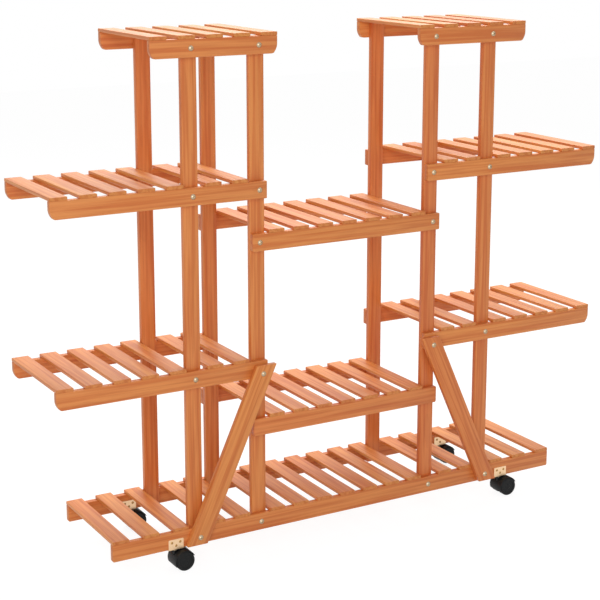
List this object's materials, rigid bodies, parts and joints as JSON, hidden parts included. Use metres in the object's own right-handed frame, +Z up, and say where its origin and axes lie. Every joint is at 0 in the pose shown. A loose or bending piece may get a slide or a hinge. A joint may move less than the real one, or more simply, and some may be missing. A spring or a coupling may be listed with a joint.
{
  "type": "plant stand",
  "caption": "Stepped slatted wood plant stand: a long base shelf, upright towers with side wing shelves, bridging shelves and top shelves, rolling on swivel casters.",
  "frame": {"origin": "on the floor under the middle of the stand", "axes": "+X along the stand to its right end seen from the front, +Y from the front to the back, +Z up"},
  "size_m": [1.28, 0.2741, 1.058],
  "materials": {
    "stained_wood": "honey-brown stained softwood, satin",
    "zinc_steel": "bright zinc plate",
    "yellow_zinc_steel": "yellow zinc plate",
    "black_plastic": "moulded black plastic, satin"
  },
  "bodies": {
    "stand": {"base_slats": "stained_wood", "base_front_rail": "stained_wood", "base_back_rail": "stained_wood", "low_bridge_slats": "stained_wood", "low_bridge_front_rail": "stained_wood", "low_bridge_back_rail": "stained_wood", "high_bridge_slats": "stained_wood", "high_bridge_front_rail": "stained_wood", "high_bridge_back_rail": "stained_wood", "right_low_wing_slats": "stained_wood", "right_low_wing_front_rail": "stained_wood", "right_low_wing_back_rail": "stained_wood", "right_high_wing_slats": "stained_wood", "right_high_wing_front_rail": "stained_wood", "right_high_wing_back_rail": "stained_wood", "right_top_slats": "stained_wood", "right_top_front_rail": "stained_wood", "right_top_back_rail": "stained_wood", "left_low_wing_slats": "stained_wood", "left_low_wing_front_rail": "stained_wood", "left_low_wing_back_rail": "stained_wood", "left_high_wing_slats": "stained_wood", "left_high_wing_front_rail": "stained_wood", "left_high_wing_back_rail": "stained_wood", "left_top_slats": "stained_wood", "left_top_front_rail": "stained_wood", "left_top_back_rail": "stained_wood", "left_brace": "stained_wood", "left_inner_front_post": "stained_wood", "left_inner_back_post": "stained_wood", "left_outer_front_post": "stained_wood", "left_outer_back_post": "stained_wood", "right_brace": "stained_wood", "right_inner_front_post": "stained_wood", "right_inner_back_post": "stained_wood", "right_outer_front_post": "stained_wood", "right_outer_back_post": "stained_wood", "rail_bolts": "zinc_steel", "brace_bolts": "zinc_steel", "insert_nuts": "zinc_steel", "low_bridge_screws": "zinc_steel", "caster_screws": "yellow_zinc_steel", "caster_brackets": "yellow_zinc_steel", "caster_stems": "zinc_steel"},
    "front_left_caster": {"front_left_caster_hood": "black_plastic", "front_left_caster_axle": "zinc_steel"},
    "front_left_caster_front_wheel": {"front_left_caster_front_wheel": "black_plastic"},
    "front_left_caster_back_wheel": {"front_left_caster_back_wheel": "black_plastic"},
    "front_right_caster": {"front_right_caster_hood": "black_plastic", "front_right_caster_axle": "zinc_steel"},
    "front_right_caster_front_wheel": {"front_right_caster_front_wheel": "black_plastic"},
    "front_right_caster_back_wheel": {"front_right_caster_back_wheel": "black_plastic"},
    "back_left_caster": {"back_left_caster_hood": "black_plastic", "back_left_caster_axle": "zinc_steel"},
    "back_left_caster_front_wheel": {"back_left_caster_front_wheel": "black_plastic"},
    "back_left_caster_back_wheel": {"back_left_caster_back_wheel": "black_plastic"},
    "back_right_caster": {"back_right_caster_hood": "black_plastic", "back_right_caster_axle": "zinc_steel"},
    "back_right_caster_front_wheel": {"back_right_caster_front_wheel": "black_plastic"},
    "back_right_caster_back_wheel": {"back_right_caster_back_wheel": "black_plastic"}
  },
  "joints": [
    {"name": "front_left_caster_swivel", "type": "hinge", "parent": "stand", "child": "front_left_caster", "pos_m": [-0.401, -0.1165, 0.042], "axis": [0, 0, 1], "continuous": true},
    {"name": "front_left_caster_front_wheel_spin", "type": "hinge", "parent": "front_left_caster", "child": "front_left_caster_front_wheel", "pos_m": [-0.386, -0.1295, 0.02], "axis": [0, 1, 0], "continuous": true},
    {"name": "front_left_caster_back_wheel_spin", "type": "hinge", "parent": "front_left_caster", "child": "front_left_caster_back_wheel", "pos_m": [-0.386, -0.1035, 0.02], "axis": [0, 1, 0], "continuous": true},
    {"name": "front_right_caster_swivel", "type": "hinge", "parent": "stand", "child": "front_right_caster", "pos_m": [0.401, -0.1165, 0.042], "axis": [0, 0, 1], "continuous": true},
    {"name": "front_right_caster_front_wheel_spin", "type": "hinge", "parent": "front_right_caster", "child": "front_right_caster_front_wheel", "pos_m": [0.416, -0.1295, 0.02], "axis": [0, 1, 0], "continuous": true},
    {"name": "front_right_caster_back_wheel_spin", "type": "hinge", "parent": "front_right_caster", "child": "front_right_caster_back_wheel", "pos_m": [0.416, -0.1035, 0.02], "axis": [0, 1, 0], "continuous": true},
    {"name": "back_left_caster_swivel", "type": "hinge", "parent": "stand", "child": "back_left_caster", "pos_m": [-0.401, 0.1165, 0.042], "axis": [0, 0, 1], "continuous": true},
    {"name": "back_left_caster_front_wheel_spin", "type": "hinge", "parent": "back_left_caster", "child": "back_left_caster_front_wheel", "pos_m": [-0.386, 0.1035, 0.02], "axis": [0, 1, 0], "continuous": true},
    {"name": "back_left_caster_back_wheel_spin", "type": "hinge", "parent": "back_left_caster", "child": "back_left_caster_back_wheel", "pos_m": [-0.386, 0.1295, 0.02], "axis": [0, 1, 0], "continuous": true},
    {"name": "back_right_caster_swivel", "type": "hinge", "parent": "stand", "child": "back_right_caster", "pos_m": [0.401, 0.1165, 0.042], "axis": [0, 0, 1], "continuous": true},
    {"name": "back_right_caster_front_wheel_spin", "type": "hinge", "parent": "back_right_caster", "child": "back_right_caster_front_wheel", "pos_m": [0.416, 0.1035, 0.02], "axis": [0, 1, 0], "continuous": true},
    {"name": "back_right_caster_back_wheel_spin", "type": "hinge", "parent": "back_right_caster", "child": "back_right_caster_back_wheel", "pos_m": [0.416, 0.1295, 0.02], "axis": [0, 1, 0], "continuous": true}
  ]
}
